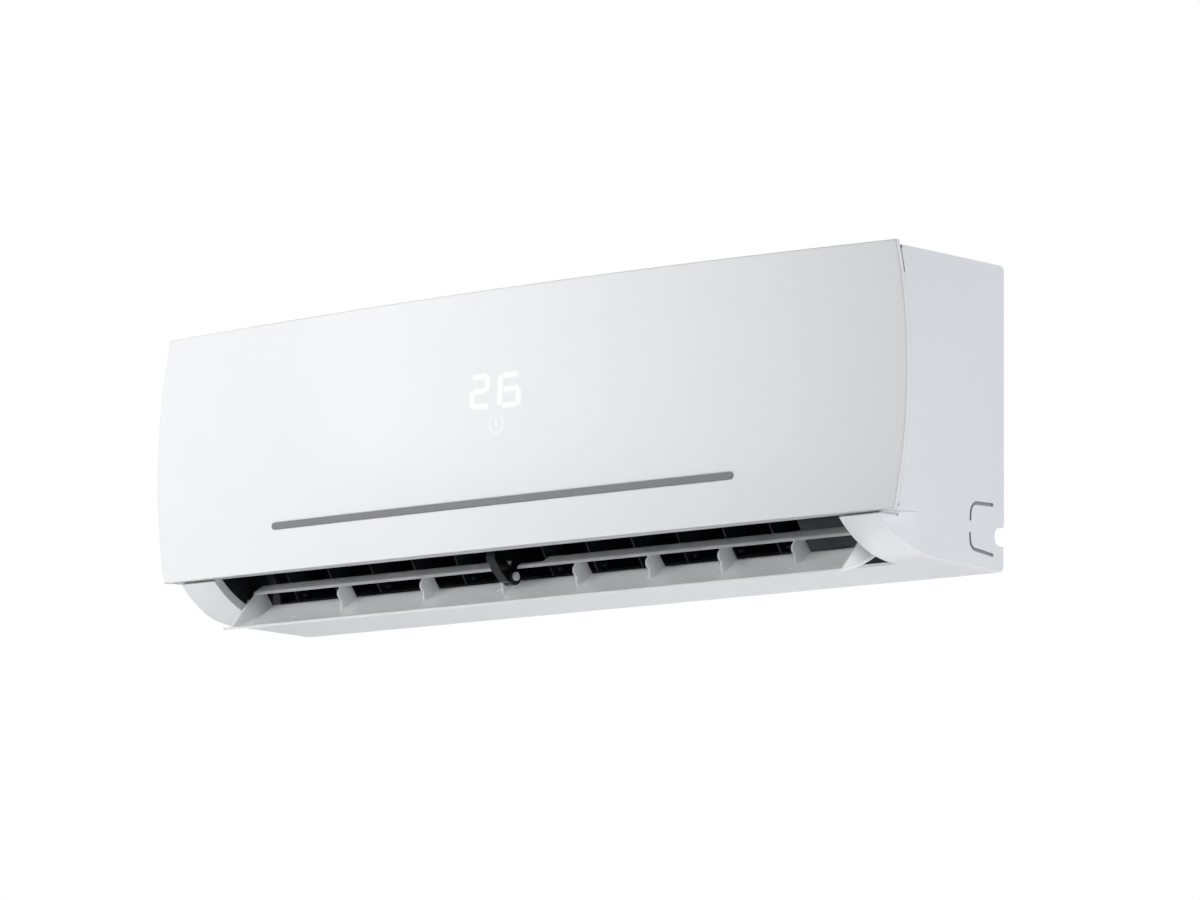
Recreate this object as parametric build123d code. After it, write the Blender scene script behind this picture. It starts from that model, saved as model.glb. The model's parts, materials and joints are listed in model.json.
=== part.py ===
from build123d import *
from math import cos, hypot, radians, sin
import os

# A wall-hung mini split indoor unit, in millimetres. X runs to the right as a person faces the unit,
# Y runs back towards the wall and Z runs up. While it is modelled, Y = 0 is the wall and Z = 0 is the
# underside at the wall; write() then moves the origin to the centre of the mounting plate's screws.

# ---- Driving dimensions -------------------------------------------------------------------------
REAR_HALF_WIDTH = 413.3  # the case at the wall, level with the panel's lower edge
REAR_SPREAD = 5.7  # how much wider each side is at the top of the wall
CASE_HEIGHT = 270.0
CROWN_RADIUS = 6.0  # the rounded corner between the top and the wall
WALL = 2.5  # thickness of the moulded shells
SCORE_DEPTH = 1.7  # of the lines that the knock-outs break along

PANEL_HALF_WIDTH = 432.0  # at the panel's corners
PANEL_SIDE_BULGE = 13.0  # how much wider each side is at half height
PANEL_BOTTOM = 41.0
PANEL_TOP = 273.0  # at the corners
PANEL_TOP_RISE = 4.0  # how much higher the top edge is in the middle
PANEL_FRONT = -182.8  # Y of the front face at the bottom corners
PANEL_BOW = 9.0  # how much further forward the middle stands
PANEL_LEAN = 0.0414  # Y per mm of height: the face leans back towards its top
PANEL_FLANGE = 5.0  # depth of the panel's turned edge
RIM_OFFSET = 8.5  # from the panel's face back to the case's front frame
HINGE_Y, HINGE_Z = -160.0, 262.0

OUTLET_HALF_WIDTH = 370.0
LIP_Y = -97.0  # front edge of the underside, where the outlet starts
CHEEK_RISE = 38.5  # height of the cheeks' front corner
SKIRT_TOP = 46.5  # where the lower case is inside the upper one
HEEL_RADIUS = 6.0  # the rounded corner between the underside and the wall
EDGE_RADIUS = 1.6  # between the sides and the underside
PIVOT_Y, PIVOT_Z = -130.0, 22.0  # axis of the louver
FLOW_ANGLE = 34.0  # the air leaves this far below the horizontal

FAN_Y, FAN_Z, FAN_RADIUS = -74.0, 118.0, 46.0
FAN_LEFT, FAN_RIGHT = -352.0, 262.0
LEFT_WALL_X, RIGHT_WALL_X = -366.0, 283.0  # walls at the two ends of the fan
SHAFT_RADIUS = 4.0
RUNNING = 0.06  # radial clearance of a shaft in its bearing

LOUVER_HALF_WIDTH = 365.0
LOUVER_RIBS = (-362.0, -253.5, -150.5, -54.3, 34.0, 119.0, 201.5, 284.0, 362.0)
HOOK_X = (-50.0, -40.0)  # the arm that carries the middle of the louver

VANE_COUNT, VANE_PITCH, FIRST_VANE_X = 12, 52.8, -337.0
VANES_PER_GROUP = 6
VANE_AXIS, LINK_PIN = 38.0, 48.0  # distances upstream of the louver's axis
VANE_FRONT, VANE_REAR, VANE_FOOT, VANE_TIP = 26.0, 52.0, -16.5, 32.0

STRIP_LEFT, STRIP_RIGHT, STRIP_Z, STRIP_HEIGHT = -289.0, 261.0, 83.4, 6.5
DISPLAY_X, DISPLAY_Z = -14.0, 177.0

SCREW_SPACING_X, SCREW_SPACING_Z, PLATE_CENTRE_Z = 300.0, 80.0, 150.0
HOOKS_X = (-200.0, 200.0)  # hooks that the unit hangs on
CLIP_X = (-313.0, 225.0)  # clips at the foot of the mounting plate

FILTER_X = ((-366.0, -48.0), (-40.0, 276.0))
FILTER_Y, FILTER_TOP = -163.0, 258.0  # middle of the filters' front and of their top
CLAMP_SCREW_X, CLAMP_SCREW_Y = 313.0, (-118.4, -29.6)
DRAIN_Y, DRAIN_Z, DRAIN_BORE = -152.5, 76.5, 5.0
BUTTON_X, BUTTON_Z, BUTTON_RADIUS = 330.0, 80.0, 5.0
SWITCH_BOARD_Y = -163.0
CASE_SCREW_X, CASE_SCREW_Z = (-330.0, -44.0, 345.0), 54.0
BOARD_X = 396.5  # the control board's left face

# The duct's own axes: along X, upstream and across the flow, from the louver's axis.
DUCT = Plane(
    origin=(0, PIVOT_Y, PIVOT_Z),
    x_dir=(1, 0, 0),
    z_dir=(0, -sin(radians(FLOW_ANGLE)), cos(radians(FLOW_ANGLE))),
)


# ---- Helpers ------------------------------------------------------------------------------------
def box(x, y, z):
    """A block between two values on each axis."""
    low, high = (x[0], y[0], z[0]), (x[1], y[1], z[1])
    middle = [(a + b) / 2 for a, b in zip(low, high)]
    return Pos(*middle) * Box(*[b - a for a, b in zip(low, high)])


def both_sides(piece):
    """The piece and its mirror image across the middle of the unit."""
    return piece + mirror(piece, Plane.YZ)


def rod(x, y, z, radius):
    """A round bar along X."""
    return Pos((x[0] + x[1]) / 2, y, z) * Rot(0, 90, 0) * Cylinder(radius, x[1] - x[0])


def peg(x, y, z, radius):
    """A round bar along Y."""
    return Pos(x, (y[0] + y[1]) / 2, z) * Rot(90, 0, 0) * Cylinder(radius, y[1] - y[0])


def ring(x, y, z, outer, inner):
    """A tube along X."""
    return rod(x, y, z, outer) - rod((x[0] - 1, x[1] + 1), y, z, inner)


def along_x(section, x):
    """A face drawn in (Y, Z), drawn out along X."""
    return extrude(Plane.YZ.offset(x[0]) * section, x[1] - x[0])


def profile(points, x):
    """A polygon of (Y, Z) points, drawn out along X."""
    return along_x(make_face(Polyline(*points, close=True)), x)


def duct_point(upstream, across):
    """(Y, Z) of a point of the duct's own axes."""
    point = DUCT.from_local_coords((0, upstream, across))
    return point.Y, point.Z


def duct_box(x, upstream, across):
    """A block in the duct's own axes."""
    return DUCT * box(x, upstream, across)


def duct_peg(x, upstream, across, radius):
    """A round bar across the duct."""
    middle, length = (across[0] + across[1]) / 2, across[1] - across[0]
    return DUCT * (Pos(x, upstream, middle) * Cylinder(radius, length))


def skin(front, back, low=-30.0, high=300.0):
    """The space between two depths behind the panel's bowed, leaning face."""
    reach = PANEL_HALF_WIDTH + 40
    ends = PANEL_FRONT + (low - PANEL_BOTTOM) * PANEL_LEAN
    edge = ends - PANEL_BOW * (1 - (reach / PANEL_HALF_WIDTH) ** 2)
    middle = ends - PANEL_BOW
    outline = Wire(
        [
            ThreePointArc((-reach, edge + front), (0, middle + front), (reach, edge + front)),
            Line((reach, edge + front), (reach, edge + back)),
            ThreePointArc((reach, edge + back), (0, middle + back), (-reach, edge + back)),
            Line((-reach, edge + back), (-reach, edge + front)),
        ]
    )
    rise = high - low
    return extrude(
        Pos(0, 0, low) * make_face(outline), rise * hypot(1, PANEL_LEAN), dir=(0, PANEL_LEAN, 1)
    )


def front_outline(half_width, bulge, bottom, top, rise, spread=0.0):
    """An outline in (X, Z): bowed or spread sides and a straight or slightly arched top."""
    middle = (bottom + top) / 2
    upper = half_width + spread
    top_edge = Line((upper, top), (-upper, top))
    if rise:
        top_edge = ThreePointArc((half_width, top), (0, top + rise), (-half_width, top))
    right = Line((half_width, bottom), (upper, top))
    left = Line((-upper, top), (-half_width, bottom))
    if bulge:
        right = ThreePointArc((half_width, bottom), (half_width + bulge, middle), (half_width, top))
        left = ThreePointArc((-half_width, top), (-half_width - bulge, middle), (-half_width, bottom))
    base = Line((-half_width, bottom), (half_width, bottom))
    return Plane.XZ * make_face(Wire([base, right, top_edge, left]))


def through(outline):
    """A front outline drawn out along Y, through the whole depth."""
    return extrude(Pos(0, 10, 0) * outline, 240)


def panel_face_y(x, z):
    """Y of the panel's front face."""
    bow = PANEL_BOW * (1 - (x / PANEL_HALF_WIDTH) ** 2)
    return PANEL_FRONT + (z - PANEL_BOTTOM) * PANEL_LEAN - bow


# ---- Case ---------------------------------------------------------------------------------------
def flare(inset):
    """The upper case: straight at the wall, bowed at the front."""
    bottom, top = PANEL_BOTTOM + inset, CASE_HEIGHT - inset
    rear = front_outline(REAR_HALF_WIDTH - inset, 0, bottom, top, 0, REAR_SPREAD)
    front = front_outline(PANEL_HALF_WIDTH - inset, PANEL_SIDE_BULGE, bottom, top, 0)
    return loft([Pos(0, inset, 0) * rear, Pos(0, -205, 0) * front], ruled=True)


def upper_body():
    """The upper case with its rounded corner at the top of the wall."""
    body = flare(0)
    crown = [
        edge
        for edge in body.edges()
        if abs(edge.center().Y) < 0.1 and edge.center().Z > CASE_HEIGHT - 0.1
    ]
    return fillet(crown, CROWN_RADIUS)


def lower_profile(inset):
    """The side view of the lower case: flat underside, then an arc up to the panel."""
    sag = 9.3 / 92.0
    start = (-95.0, 4.0 + inset)
    corner = (-179.0 + inset, CHEEK_RISE + inset * 0.6)
    middle_y = (start[0] + corner[0]) / 2 + sag * (start[1] - corner[1])
    middle_z = (start[1] + corner[1]) / 2 + sag * (corner[0] - start[0])
    wall = -175.5 + inset
    top = SKIRT_TOP + inset if inset else PANEL_BOTTOM
    heel = HEEL_RADIUS * (1 - 0.7071)
    edges = [
        ThreePointArc((inset, HEEL_RADIUS), (inset - heel, inset + heel), (-HEEL_RADIUS, inset)),
        Line((-HEEL_RADIUS, inset), start),
        ThreePointArc(start, (middle_y, middle_z), corner),
        Line(corner, (wall, CHEEK_RISE + 2 + inset * 0.6)),
        Line((wall, CHEEK_RISE + 2 + inset * 0.6), (wall, top)),
        Line((wall, top), (inset, top)),
        Line((inset, top), (inset, HEEL_RADIUS)),
    ]
    return make_face(Wire(edges))


def side_x(y):
    """Half the case's width, level with the panel's lower edge."""
    return REAR_HALF_WIDTH + (PANEL_HALF_WIDTH - REAR_HALF_WIDTH) * -y / 205


# Half the lower case's width at its foot and at its top, from the wall to the front.
FOOT_SIDE = [(412.2, 10), (415.8, -118), (414.5, -130), (412.7, -138), (410.1, -146), (408.5, -154)]
FOOT_SIDE += [(407.7, -162), (408.2, -170), (410, -178), (410.5, -190)]
TOP_SIDE = [(side_x(10), 10), (side_x(-135), -135), (425.4, -146), (423.5, -153.7), (421, -160)]
TOP_SIDE += [(418.2, -166), (415.4, -172), (412.8, -178.5), (410.8, -184), (410, -190)]


def lower_body(inset):
    """The lower case. Its sides run on from the upper ones, and are let in below the corners."""
    outlines = []
    for side in (FOOT_SIDE, TOP_SIDE):
        right = [(x - inset, y) for x, y in side]
        run = (right[1][0] - right[0][0], right[1][1] - right[0][1])
        half = Line((0, right[0][1]), right[0]).edges() + Line(right[0], right[1]).edges()
        half += Spline(*right[1:], tangents=[run, (0, -1)]).edges()
        half += Line(right[-1], (0, right[-1][1])).edges()
        half += [edge for line in list(half) for edge in mirror(line, Plane.YZ).edges()]
        outlines.append(make_face(Wire(half)))
    top = Pos(0, 0, PANEL_BOTTOM) * outlines[1]
    sides = loft([Pos(0, 0, -2) * outlines[0], top], ruled=True)
    if inset:
        sides += extrude(top, 12)
    return sides & along_x(lower_profile(inset), (-440, 440))


def front_case():
    """The visible case: side walls, cheeks, underside, top and the frame behind the panel."""
    behind_rim = skin(RIM_OFFSET, 230)
    upper, lower = upper_body(), lower_body(0)
    side_edges = [
        edge
        for edge in lower.edges()
        if abs(edge.center().X) > 405 and -178 < edge.center().Y < -2 and edge.center().Z < 36
    ]
    shell = (upper & behind_rim) - flare(WALL) - lower_body(WALL + 0.6)
    shell += fillet(side_edges, EDGE_RADIUS) - lower_body(WALL)
    shell += upper & box((-440, 440), (-WALL, 1), (CASE_HEIGHT - 9, CASE_HEIGHT + 1))

    frame = skin(RIM_OFFSET, RIM_OFFSET + WALL, PANEL_BOTTOM - 20, CASE_HEIGHT + 20)
    frame &= through(front_outline(PANEL_HALF_WIDTH - 1, PANEL_SIDE_BULGE, 43.5, CASE_HEIGHT - 1, 0))
    web = box((-428, 428), (-200, -174), (43.5, 46.5)) & behind_rim
    for x in ((-362.0, -56.0), (-34.0, 272.0)):
        for z in ((66.0, 142.0), (148.0, 228.0)):
            frame -= box(x, (-220, -100), z)
    # A ridge on the frame's sides, just behind the panel's turned edge.
    ridge = through(front_outline(PANEL_HALF_WIDTH - 1, PANEL_SIDE_BULGE, 43.5, CASE_HEIGHT - 1, 0))
    ridge -= through(front_outline(PANEL_HALF_WIDTH - 3.5, PANEL_SIDE_BULGE, 43.5, CASE_HEIGHT - 1, 0))
    ridge &= box((-460, 460), (-220, -100), (46, 245))
    ridge &= skin(PANEL_FLANGE + 0.4, RIM_OFFSET + 1)
    shell += frame + web + filter_guides() + ridge
    # A rebate along the top of the rim, which the panel's upper edge turns into as it opens.
    shell -= skin(0, RIM_OFFSET + 4) & box((-460, 460), (-220, -150), (CASE_HEIGHT - 4, 290))

    # The hinge brackets, with a notch beside each for the panel's arm.
    arm_slot = box((394, 403.2), (-200, -150), (249, CASE_HEIGHT + 5))
    shell -= both_sides(arm_slot)
    bracket = box((404, 412), (-165, -153), (255, CASE_HEIGHT - 1))
    bracket -= rod((400, 420), HINGE_Y, HINGE_Z, 2.5 + RUNNING)
    shell += both_sides(bracket)
    shell -= both_sides(rod((400, 415), HINGE_Y, HINGE_Z, 2.5 + RUNNING))

    # The air outlet, the returned edges of the cheeks and the clips' notches at the wall.
    shell -= box((-OUTLET_HALF_WIDTH, OUTLET_HALF_WIDTH), (-200, LIP_Y), (-10, CHEEK_RISE + 1.9))
    cheek_edge = (OUTLET_HALF_WIDTH, OUTLET_HALF_WIDTH + 2.2)
    returned = along_x(lower_profile(0), cheek_edge) - along_x(lower_profile(8), cheek_edge)
    shell += both_sides(returned & box(cheek_edge, (-200, -92.4), (0, 46)))
    for x in CLIP_X:
        shell -= box((x - 10, x + 10), (-4, 1), (-1, 3.5))

    # The top: an opening for the inlet grille, on a ledge.
    shell -= box((-372.3, 372.3), (-142.3, -21.7), (260, CASE_HEIGHT + 5))
    ledge = box((-375, 375), (-145, -19), (264.7, 267.5))
    shell += ledge - box((-368, 368), (-138.5, -25.5), (260, CASE_HEIGHT))

    # Knock-outs for the pipes: a notch at the wall and two deep score lines each side.
    notch = rod((400, 430), -7.0, 31.0, 8.5) + box((400, 430), (-7, 3), (22.5, 39.5))
    line = trace(FilletPolyline((-18.3, 58), (-55.9, 57), (-55.7, 41.4), radius=9), 3.0)
    second = trace(FilletPolyline((-55.3, 31.5), (-53.3, 17.8), (-17.1, 14.1), radius=10), 3.0)
    scores = along_x(line, (405, 430)) + along_x(second, (405, 430))
    # A short slit just below each of the panel's corners.
    scores += profile([(-181.5, 41.0), (-181.5, 39.9), (-160.5, 36.8), (-160.2, 38.8)], (407, 435))
    shell -= both_sides(notch)
    shell -= both_sides(scores) - flare(SCORE_DEPTH) - lower_body(SCORE_DEPTH)

    # Behind the panel: the button's hole, its posts and three screw holes.
    shell -= peg(BUTTON_X, (-200, -100), BUTTON_Z, BUTTON_RADIUS + 0.3)
    back = panel_face_y(BUTTON_X, BUTTON_Z) + RIM_OFFSET + 1.5
    for x in (BUTTON_X - 12, BUTTON_X + 12):
        shell += peg(x, (back, SWITCH_BOARD_Y - 0.1), BUTTON_Z, 2.0)
    for x in CASE_SCREW_X:
        shell -= peg(x, (-200, -150), CASE_SCREW_Z, 2.2)
    # A small sink mark in the underside.
    shell -= Pos(-198, -58, 0) * Cylinder(1.6, 2.4)
    return shell


def filter_guides():
    """Channels on the frame's back that the two filters' long edges slide in."""
    guides = []
    for (left, right) in FILTER_X:
        for edge, outward in ((left, -1), (right, 1)):
            outside = sorted((edge + outward * 0.6, edge + outward * 3.0))
            behind = sorted((edge - outward * 4.0, edge + outward * 3.0))
            guides.append(box(outside, (-190, -161.2), (61.1, 222)))
            guides.append(box(outside, (-162, -158.6), (87, 222)))
            guides.append(box(behind, (-161.0, -158.6), (87, 222)))
        guides.append(box((left - 3, right + 3), (-190, -161.2), (61.1, 63.3)))
    return guides[0].fuse(*guides[1:]) & skin(RIM_OFFSET + 1, 230)


def top_inlet_grille():
    """The slatted insert in the top of the case."""
    plate = box((-372, 372), (-142, -22), (267.5, CASE_HEIGHT))
    slots = [
        Pos(-341 + 62 * column, -132.2 + 8.4 * row) * RectangleRounded(56, 5.4, 1.5)
        for column in range(12)
        for row in range(13)
    ]
    return plate - extrude(Pos(0, 0, 260) * Sketch(slots), 20)


# ---- Panel --------------------------------------------------------------------------------------
def panel_outline(inset):
    return through(
        front_outline(
            PANEL_HALF_WIDTH - inset,
            PANEL_SIDE_BULGE,
            PANEL_BOTTOM + inset,
            PANEL_TOP - inset,
            PANEL_TOP_RISE,
        )
    )


def strip_slot(clearance):
    """The trim strip's outline, drawn out along Y."""
    length = STRIP_RIGHT - STRIP_LEFT
    slot = SlotOverall(length + 2 * clearance, STRIP_HEIGHT + 2 * clearance)
    middle = (STRIP_LEFT + STRIP_RIGHT) / 2
    return extrude(Pos(middle, 10, STRIP_Z) * (Plane.XZ * slot), 240)


def front_panel():
    """The one-piece front panel, with its turned edge and its two hinge arms."""
    face = panel_outline(0) & skin(0, WALL)
    edge = (panel_outline(0) - panel_outline(WALL)) & skin(0, PANEL_FLANGE)
    panel = face + edge
    panel -= strip_slot(0.05) & skin(-2, 1.2)
    arm = box((398, 402), (-176, HINGE_Y), (257, 267)) + rod((398, 402), HINGE_Y, HINGE_Z, 5)
    arm = arm & skin(1.5, 230)
    pin = rod((402, 411.5), HINGE_Y, HINGE_Z, 2.5)
    return panel + both_sides(arm + pin)


def trim_strip():
    """The grey strip let into the panel."""
    return strip_slot(0) & skin(-0.8, 1.2)


def display_housing():
    """The case of the display, fixed to the panel's back."""
    body = box((DISPLAY_X - 50, DISPLAY_X + 50), (-200, -100), (DISPLAY_Z - 37, DISPLAY_Z + 37))
    room = box((DISPLAY_X - 48, DISPLAY_X + 48), (-200, -100), (DISPLAY_Z - 35, DISPLAY_Z + 35))
    return (body & skin(WALL, 6.8)) - (room & skin(WALL - 1, 5.6))


def display_board():
    """The display's circuit board with its digit block and its power lamp."""
    board = box((DISPLAY_X - 47.5, DISPLAY_X + 47.5), (-200, -100), (DISPLAY_Z - 34, DISPLAY_Z + 34))
    digits = box((DISPLAY_X - 34, DISPLAY_X + 34), (-200, -100), (DISPLAY_Z - 14, DISPLAY_Z + 26))
    lamp = peg(DISPLAY_X - 2, (-200, -100), 150, 8)
    return (board & skin(4.2, 5.6)) + ((digits + lamp) & skin(2.7, 4.6))


# ---- Louver -------------------------------------------------------------------------------------
BLADE_REAR, BLADE_FRONT, BLADE_SAG, BLADE_THICKNESS = (-107.0, 21.0), (-173.0, -5.0), 4.25, 2.4


def blade_point(share, depth):
    """(Y, Z) at a share of the blade's width from its rear, and at a depth below its hollow side."""
    (ry, rz), (fy, fz) = BLADE_REAR, BLADE_FRONT
    chord = hypot(fy - ry, fz - rz)
    below = depth + BLADE_SAG * (1 - (2 * share - 1) ** 2)
    return (
        ry + (fy - ry) * share + (rz - fz) / chord * below,
        rz + (fz - rz) * share + (fy - ry) / chord * below,
    )


def blade_profile():
    """The louver's blade in its open position, hollow side up."""
    t = BLADE_THICKNESS
    inner = ThreePointArc(blade_point(0, 0), blade_point(0.5, 0), blade_point(1, 0))
    outer = ThreePointArc(blade_point(1, t), blade_point(0.5, t), blade_point(0, t))
    ends = [Line(inner @ 1, outer @ 0), Line(outer @ 1, inner @ 0)]
    return make_face(Wire([inner, ends[0], outer, ends[1]]))


def louver():
    """The blade, its upper fin, the ribs between them and the pins at both ends."""
    half = LOUVER_HALF_WIDTH
    body = along_x(blade_profile(), (-half, half))
    fin = [(-133.8, 28.2), (-133.3, 31.1), (-120.6, 38.4), (-119.4, 36.4)]
    fin_bar = profile(fin, (-363, 363))
    fin_bar -= box((HOOK_X[0] - 2.5, -34), (-140, -110), (20, 50))
    fin_bar -= box((-34, -7), (-129, -110), (20, 50))
    body += fin_bar
    middle_of_blade = BLADE_THICKNESS / 2
    rib = [(-132.6, 29.4), (-121, 36.6), (-119.6, 33.5)]
    rib += [blade_point(share, middle_of_blade) for share in (0.03, 0.12, 0.25, 0.39)]
    end_rib = rib + [blade_point(share, middle_of_blade) for share in (0.53, 0.67, 0.8, 0.92)]
    for x in LOUVER_RIBS:
        outline = end_rib if x in (LOUVER_RIBS[0], LOUVER_RIBS[-1]) else rib
        body += profile(outline, (x - 1, x + 1))
        body += rod((x - 1, x + 1), PIVOT_Y, PIVOT_Z, 5.5)
    body += both_sides(rod((362, 375.2), PIVOT_Y, PIVOT_Z, 3.0))
    body -= rod((368, 376), PIVOT_Y, PIVOT_Z, 2.0)
    body -= rod((LOUVER_RIBS[3] - 2, LOUVER_RIBS[3] + 2), PIVOT_Y, PIVOT_Z, 3.0)
    return body


def louver_centre_pin():
    """The pin that joins the louver's middle rib to the hook."""
    head = rod((HOOK_X[1] + 0.4, HOOK_X[1] + 2.4), PIVOT_Y, PIVOT_Z, 4.0)
    return rod((LOUVER_RIBS[3] - 1, HOOK_X[1] + 1), PIVOT_Y, PIVOT_Z, 3.0) + head


def louver_motor_shaft():
    return rod((368, 384), PIVOT_Y, PIVOT_Z, 2.0)


def louver_motor():
    """The small gear motor that turns the louver; its shaft sits 8 mm off its middle."""
    middle = PIVOT_Z + 8
    body = rod((375.7, 392), PIVOT_Y, middle, 14.0)
    for side in (-17.5, 17.5):
        body += rod((375.7, 376.9), PIVOT_Y + side, middle, 3.5)
        body += box((375.7, 376.9), sorted((PIVOT_Y, PIVOT_Y + side)), (middle - 3.5, middle + 3.5))
        body -= rod((375, 378), PIVOT_Y + side, middle, 1.8)
    return body - rod((375, 384.5), PIVOT_Y, PIVOT_Z, 2.0 + RUNNING)


def louver_centre_hook():
    """The dark arm that hangs from the duct and carries the middle of the louver."""
    arm = [(-158, 61.0), (-158, 36), (-150, 26), (-140, 17), (-130, 15), (-126, 28)]
    arm += [(-140, 33), (-146, 44), (-146, 72.4)]
    hook = profile(arm, HOOK_X) + rod(HOOK_X, PIVOT_Y, PIVOT_Z, 8.0)
    return hook - rod((HOOK_X[0] - 1, HOOK_X[1] + 1), PIVOT_Y, PIVOT_Z, 3.0 + RUNNING)


# ---- Vanes --------------------------------------------------------------------------------------
def vane_x(index):
    return FIRST_VANE_X + VANE_PITCH * index


def vane(index):
    """One upright vane, on a foot pin, with a link pin at its top."""
    x = vane_x(index)
    blade = duct_box((x - 0.8, x + 0.8), (VANE_FRONT, VANE_REAR), (VANE_FOOT, VANE_TIP))
    blade += duct_peg(x, VANE_AXIS, (VANE_FOOT - 0.1, VANE_FOOT + 3), 4.0)
    blade += duct_peg(x, VANE_AXIS, (-19.8, VANE_FOOT), 2.0)
    blade += duct_peg(x, LINK_PIN, (VANE_TIP - 3, VANE_TIP), 2.6)
    return blade + duct_peg(x, LINK_PIN, (VANE_TIP, VANE_TIP + 4), 1.5)


def vane_link(first):
    """The bar that makes a group of vanes turn together."""
    ends = (vane_x(first) - 6, vane_x(first + VANES_PER_GROUP - 1) + 6)
    bar = duct_box(ends, (LINK_PIN - 3, LINK_PIN + 3), (VANE_TIP + 1, VANE_TIP + 3.5))
    for index in range(first, first + VANES_PER_GROUP):
        bar -= duct_peg(vane_x(index), LINK_PIN, (VANE_TIP, VANE_TIP + 5), 1.5 + RUNNING)
    return bar


def vane_carrier():
    """The strip on the duct's floor that the vanes' feet turn in."""
    strip = duct_box((-362, 275), (VANE_AXIS - 8, VANE_AXIS + 10), (-19.9, -17))
    for index in range(VANE_COUNT):
        strip -= duct_peg(vane_x(index), VANE_AXIS, (-21, -16), 2.0 + RUNNING)
    return strip


# ---- Duct, drain and chassis --------------------------------------------------------------------
def drain_pan():
    """The insulated tray under the coil, whose underside is the duct's upper wall."""
    tray = [(-172.5, 47.2), (-172.5, 49.8), (-160.8, 61.0), (-160.8, 84), (-158.8, 84)]
    tray += [(-158.8, 63.4), (-137, 84.2), (-134, 86.5), (-133.5, 99), (-122.5, 101), (-124.5, 93)]
    pan = profile(tray, (-374, 374))
    side = [(-172.5, 47.5), (-171, 40), (-160, 28), (-145, 19.5), (-125, 13.5), (-103, 12)]
    side += [(-96, 30), (-112, 62), (-122.5, 101), (-140, 101), (-160.8, 90), (-160.8, 61)]
    pan += both_sides(profile(side, (373, 375.5)))
    # The dark wall that closes the right end of the outlet, and its floor.
    pan += duct_box((287, 374), (27, 29.5), (-20, 47.5))
    pan += duct_box((274, 288), (27, 29.5), (-19.7, 47.5))
    pan += duct_box((287, 374), (17, 29.5), (-22.5, -20))
    for x in CASE_SCREW_X:
        front = panel_face_y(x, CASE_SCREW_Z) + RIM_OFFSET + WALL + 0.8
        pan += box((x - 6, x + 6), (front, -164), (CASE_SCREW_Z - 5, CASE_SCREW_Z + 5))
        pan -= peg(x, (-200, -166), CASE_SCREW_Z, 2.05)
    pan -= both_sides(rod((370, 378), PIVOT_Y, PIVOT_Z, 3.0 + RUNNING))
    pan -= both_sides(rod((370, 378), DRAIN_Y, DRAIN_Z, DRAIN_BORE))
    return pan


def drain_spigot():
    """The nipple that the drain hose pushes on to."""
    spigot = ring((-397, -375.5), DRAIN_Y, DRAIN_Z, 8.0, DRAIN_BORE)
    return spigot + ring((-377.5, -375.5), DRAIN_Y, DRAIN_Z, 10.5, DRAIN_BORE)


def drain_plug():
    """The rubber plug in the drain outlet that isn't used."""
    return rod((370, 376), DRAIN_Y, DRAIN_Z, DRAIN_BORE - 0.05) + rod((375.5, 380), DRAIN_Y, DRAIN_Z, 8)


def end_wall(x):
    """A wall at one end of the fan."""
    outline = [(-18, 160), (-12, 118), (-22, 72), (-55, 38), (-92, 12), (-94, 30), (-110, 62)]
    outline += [(-119, 98), (-119, 150), (-100, 178), (-45, 178)]
    return profile(outline, (x, x + WALL))


def rear_chassis():
    """The moulded base: back plate, fan scroll, end walls, motor saddle and floor."""
    back = box((-408.6, 408.6), (-6, -3.5), (7, 260))
    floor = box((-408.6, 408.6), (-92, -3.5), (7, 9.5))
    scroll = Spline(
        (-45.3, 159),
        (-21, 118),
        (-31.6, 75.6),
        duct_point(74, -21.3),
        tangents=[(0.75, -0.66), (-cos(radians(FLOW_ANGLE)), -sin(radians(FLOW_ANGLE)))],
    )
    lip = Polyline(duct_point(74, -21.3), duct_point(19, -21.3), (-98.2, 8.3))
    base = back + floor
    base += along_x(trace(scroll + lip, WALL), (LEFT_WALL_X, RIGHT_WALL_X + WALL))
    base += end_wall(LEFT_WALL_X) + end_wall(RIGHT_WALL_X)
    base += box((LEFT_WALL_X, RIGHT_WALL_X), (-20, -5), (117, 119.5))
    # The gutter under the rear slab of the coil.
    gutter = [(-5, 196), (-5, 166), (-44, 160), (-46, 176), (-43.5, 176), (-42, 166), (-8, 171)]
    base += profile(gutter + [(-8, 196)], (LEFT_WALL_X, RIGHT_WALL_X + WALL))
    # Side walls, kept above the arc of the cheeks.
    side = [(-3.5, 7), (-92, 7), (-120, 30), (-150, 48), (-150, 260), (-3.5, 260)]
    base += both_sides(profile(side, (406.1, 408.6)))
    base -= both_sides(box((400, 415), (-60, -8), (11, 62)))
    base -= both_sides(box((398, 412), (-8, -2), (20, 42.5)))
    # Room for the drain hose's elbow.
    base -= both_sides(box((400, 415), (-165, -134), (58, 95)))
    # The saddle of the fan motor: a shelf on two ribs, with pads for the clamp's screws.
    base += box((RIGHT_WALL_X, 326), (-110, -36), (62, 65))
    for x in ((302, 305), (321, 324)):
        base += box(x, (-120.5, -27.5), (64, FAN_Z)) + box(x, (-88, -44), (9, 63))
    for y in CLAMP_SCREW_Y:
        base += box((302, 324), (y - 4.2, y + 4.2), (FAN_Z - 12, FAN_Z))
        base -= Pos(CLAMP_SCREW_X, y, FAN_Z) * Cylinder(1.85, 22)
    base -= rod((RIGHT_WALL_X + WALL, 340), FAN_Y, FAN_Z, MOTOR_RADIUS + 0.1)
    base -= rod((RIGHT_WALL_X - 1, 292), FAN_Y, FAN_Z, 14.0)
    base -= rod((LEFT_WALL_X - 1, LEFT_WALL_X + 5), FAN_Y, FAN_Z, 16.0)
    # Slots for the mounting plate's hooks and windows for the pipes.
    for x in HOOKS_X:
        base -= box((x - 18, x + 18), (-8, -2), (213, 227.6))
    return base - both_sides(box((300, 392), (-8, -2), (12, 60)))


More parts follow.
